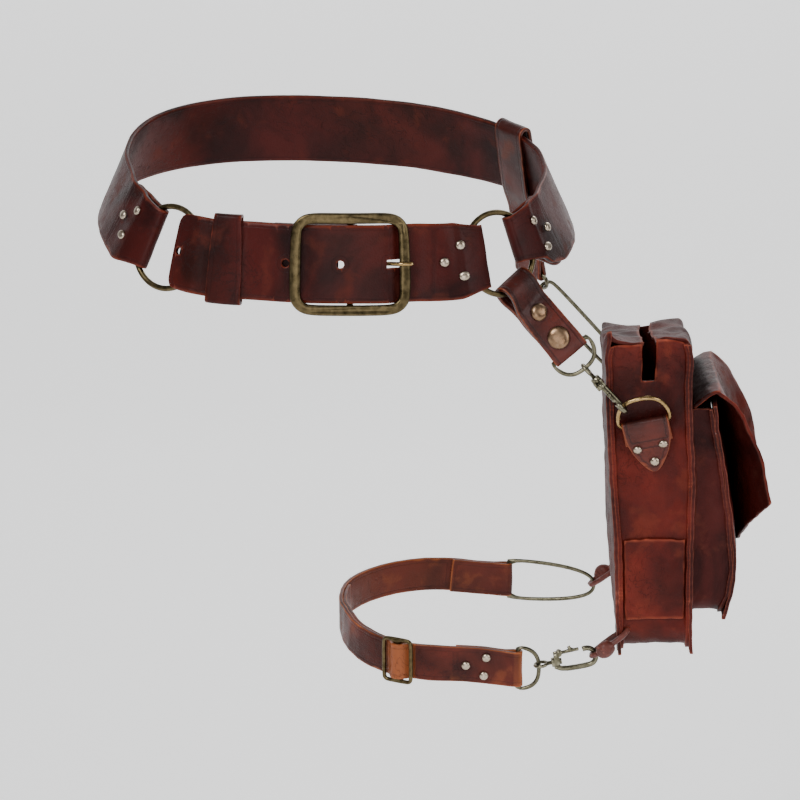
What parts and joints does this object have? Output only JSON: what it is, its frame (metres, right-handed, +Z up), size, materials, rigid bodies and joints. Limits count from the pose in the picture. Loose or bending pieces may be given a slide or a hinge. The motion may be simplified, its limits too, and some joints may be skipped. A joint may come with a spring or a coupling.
{
  "type": "belt bag",
  "caption": "Leather hip belt with a centre-bar buckle, a flapped bag hanging beside the thigh and a thigh strap.",
  "frame": {"origin": "middle of the waist loop at the belt's mean height", "axes": "+Z up, -Y to the wearer's front, +X to the side that carries the bag"},
  "size_m": [0.4654, 0.2424, 0.3855],
  "materials": {
    "belt_leather": "waxed pull-up leather, oxblood",
    "bag_leather": "waxed pull-up leather, red brown",
    "tie_leather": "soft thong, pale red brown",
    "dark_brass": "antique brass, worn",
    "bright_brass": "antique brass, polished by wear",
    "rivet_brass": "pale brass"
  },
  "bodies": {
    "worn": {"belt_tongue": "belt_leather", "belt_buckle_strap": "belt_leather", "belt_back": "belt_leather", "belt_keeper": "belt_leather", "drop_strap": "belt_leather", "front_tab": "belt_leather", "rear_tab": "belt_leather", "thigh_strap": "belt_leather", "thigh_strap_end": "belt_leather", "rear_drop_strap": "belt_leather", "bag_back_panel": "bag_leather", "bag_front_panel": "bag_leather", "bag_gusset": "bag_leather", "gusset_fold": "bag_leather", "pocket_gusset": "bag_leather", "pocket_front": "bag_leather", "pocket_flap": "bag_leather", "front_tie": "tie_leather", "rear_tie": "tie_leather", "buckle_frame": "dark_brass", "buckle_prong": "dark_brass", "ring_right": "dark_brass", "ring_left": "dark_brass", "snap_cap_1": "dark_brass", "snap_cap_2": "dark_brass", "drop_ring": "dark_brass", "upper_hook_eye": "dark_brass", "upper_hook_body": "dark_brass", "flap_stud": "dark_brass", "slider": "dark_brass", "thigh_ring": "dark_brass", "lower_hook_eye": "dark_brass", "lower_hook_body": "dark_brass", "thigh_rear_link": "dark_brass", "rear_ring": "dark_brass", "rear_link": "dark_brass", "front_d_ring": "bright_brass", "rear_d_ring": "bright_brass", "tongue_rivet_1": "rivet_brass", "tongue_rivet_2": "rivet_brass", "tongue_rivet_3": "rivet_brass", "right_rivet_1": "rivet_brass", "right_rivet_2": "rivet_brass", "right_rivet_3": "rivet_brass", "left_rivet_1": "rivet_brass", "left_rivet_2": "rivet_brass", "left_rivet_3": "rivet_brass", "front_rivet_1": "rivet_brass", "front_rivet_2": "rivet_brass", "front_rivet_3": "rivet_brass", "rear_rivet_1": "rivet_brass", "rear_rivet_2": "rivet_brass", "rear_rivet_3": "rivet_brass", "thigh_rivet_1": "rivet_brass", "thigh_rivet_2": "rivet_brass", "thigh_rivet_3": "rivet_brass"},
    "upper_gate": {"upper_hook_gate": "dark_brass"},
    "lower_gate": {"lower_hook_gate": "dark_brass"}
  },
  "joints": [
    {"name": "upper_gate_hinge", "type": "hinge", "parent": "worn", "child": "upper_gate", "pos_m": [0.17428, -0.0959, -0.10653], "axis": [-0.7317, 0, -0.6816], "range_deg": [-25, 0], "stiffness_Nm_per_rad": 0.001, "springref_deg": 28.65},
    {"name": "lower_gate_hinge", "type": "hinge", "parent": "worn", "child": "lower_gate", "pos_m": [0.15112, -0.07544, -0.29815], "axis": [0, -1, 0], "range_deg": [-25, 0], "stiffness_Nm_per_rad": 0.001, "springref_deg": 28.65}
  ]
}
